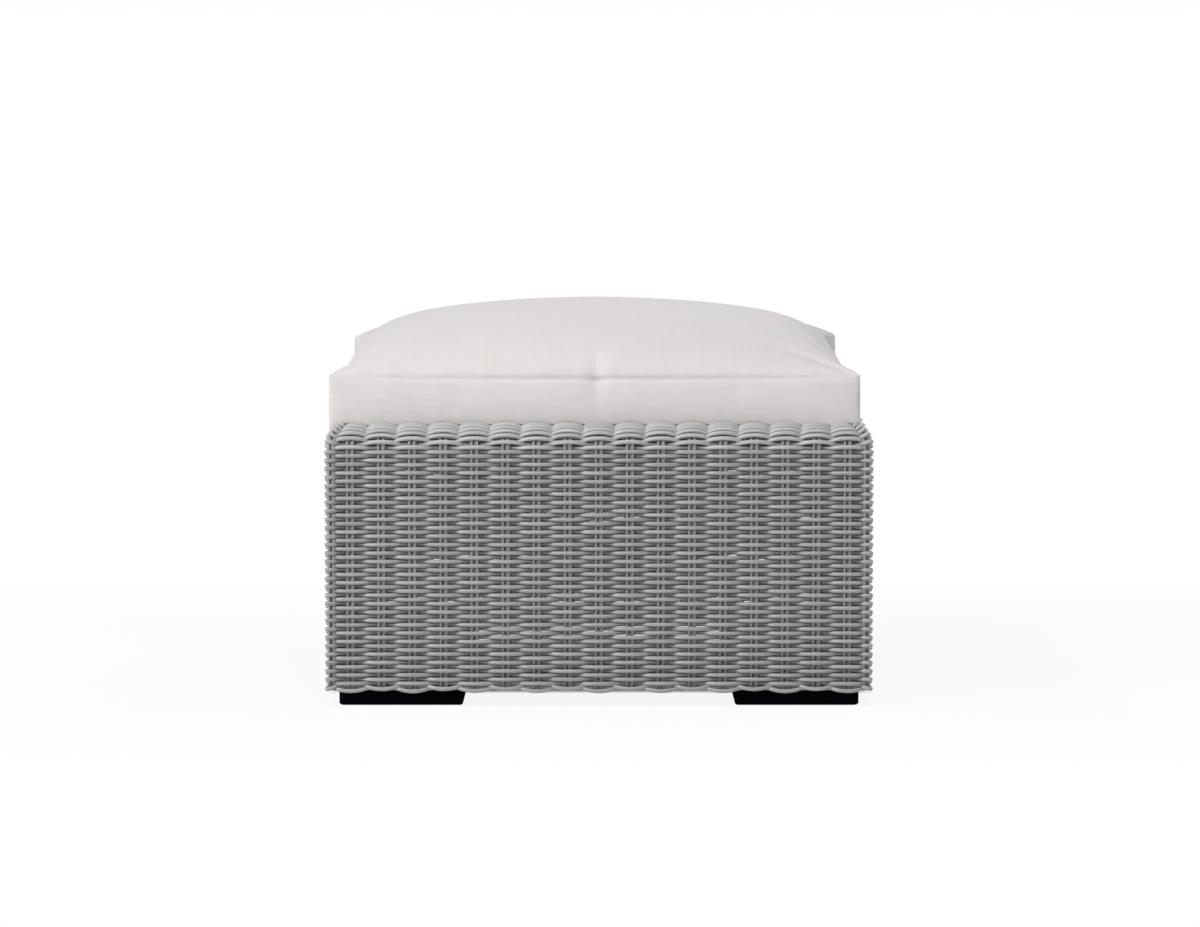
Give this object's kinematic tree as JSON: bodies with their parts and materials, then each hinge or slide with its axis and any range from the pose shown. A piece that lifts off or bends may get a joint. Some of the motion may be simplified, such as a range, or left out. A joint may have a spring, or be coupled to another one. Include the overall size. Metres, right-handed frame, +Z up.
{
  "type": "outdoor ottoman footstool",
  "caption": "Square patio ottoman: box of grey woven resin wicker with a rolled top border, black corner feet and a loose crowned off-white box cushion.",
  "frame": {"origin": "on the floor, under the middle of the wicker base", "axes": "+Z up, front faces -Y, +X to the right as seen from the front"},
  "size_m": [0.686, 0.686, 0.4895],
  "materials": {
    "wicker": "grey extruded resin strand, finely ridged along its length, satin",
    "frame_metal": "dark grey powder coat on aluminium tube",
    "foot": "black moulded plastic, fine grain",
    "screw": "zinc plated steel",
    "cover_fabric": "off-white slubbed outdoor canvas",
    "foam": "cream open-cell foam",
    "fibre": "white polyester wadding",
    "zip_tape": "off-white woven tape with a nylon coil",
    "zip_metal": "satin nickel"
  },
  "bodies": {
    "base": {"wicker_wall_front": "wicker", "wicker_wall_right": "wicker", "wicker_wall_back": "wicker", "wicker_wall_left": "wicker", "wicker_border_front": "wicker", "wicker_border_right": "wicker", "wicker_border_back": "wicker", "wicker_border_left": "wicker", "top_rail_front": "frame_metal", "top_rail_right": "frame_metal", "top_rail_back": "frame_metal", "top_rail_left": "frame_metal", "bottom_rail_front": "frame_metal", "bottom_rail_right": "frame_metal", "bottom_rail_back": "frame_metal", "bottom_rail_left": "frame_metal", "corner_post_front_left": "frame_metal", "corner_post_front_right": "frame_metal", "corner_post_back_left": "frame_metal", "corner_post_back_right": "frame_metal", "deck_slat_1": "frame_metal", "deck_slat_2": "frame_metal", "deck_slat_3": "frame_metal", "deck_slat_4": "frame_metal", "deck_slat_5": "frame_metal", "foot_front_left": "foot", "foot_front_right": "foot", "foot_back_left": "foot", "foot_back_right": "foot", "foot_screw_1": "screw", "foot_screw_2": "screw", "foot_screw_3": "screw", "foot_screw_4": "screw", "foot_screw_5": "screw", "foot_screw_6": "screw", "foot_screw_7": "screw", "foot_screw_8": "screw"},
    "cushion": {"cushion_cover": "cover_fabric", "cushion_foam": "foam", "cushion_pad_top": "fibre", "cushion_pad_bottom": "fibre", "zip_tape": "zip_tape"},
    "zip_slider": {"zip_slider": "zip_metal"},
    "zip_pull": {"zip_pull": "zip_metal"}
  },
  "joints": [
    {"name": "cushion_lift", "type": "slide", "parent": "base", "child": "cushion", "axis": [0, 0, 1], "range_m": [0, 0.25]},
    {"name": "zip_slide", "type": "slide", "parent": "cushion", "child": "zip_slider", "axis": [-1, 0, 0], "range_m": [0, 0.416]},
    {"name": "pull_swing", "type": "hinge", "parent": "zip_slider", "child": "zip_pull", "pos_m": [0.202, 0.3349, 0.381], "axis": [0, 0, 1], "range_deg": [0, 165]}
  ]
}
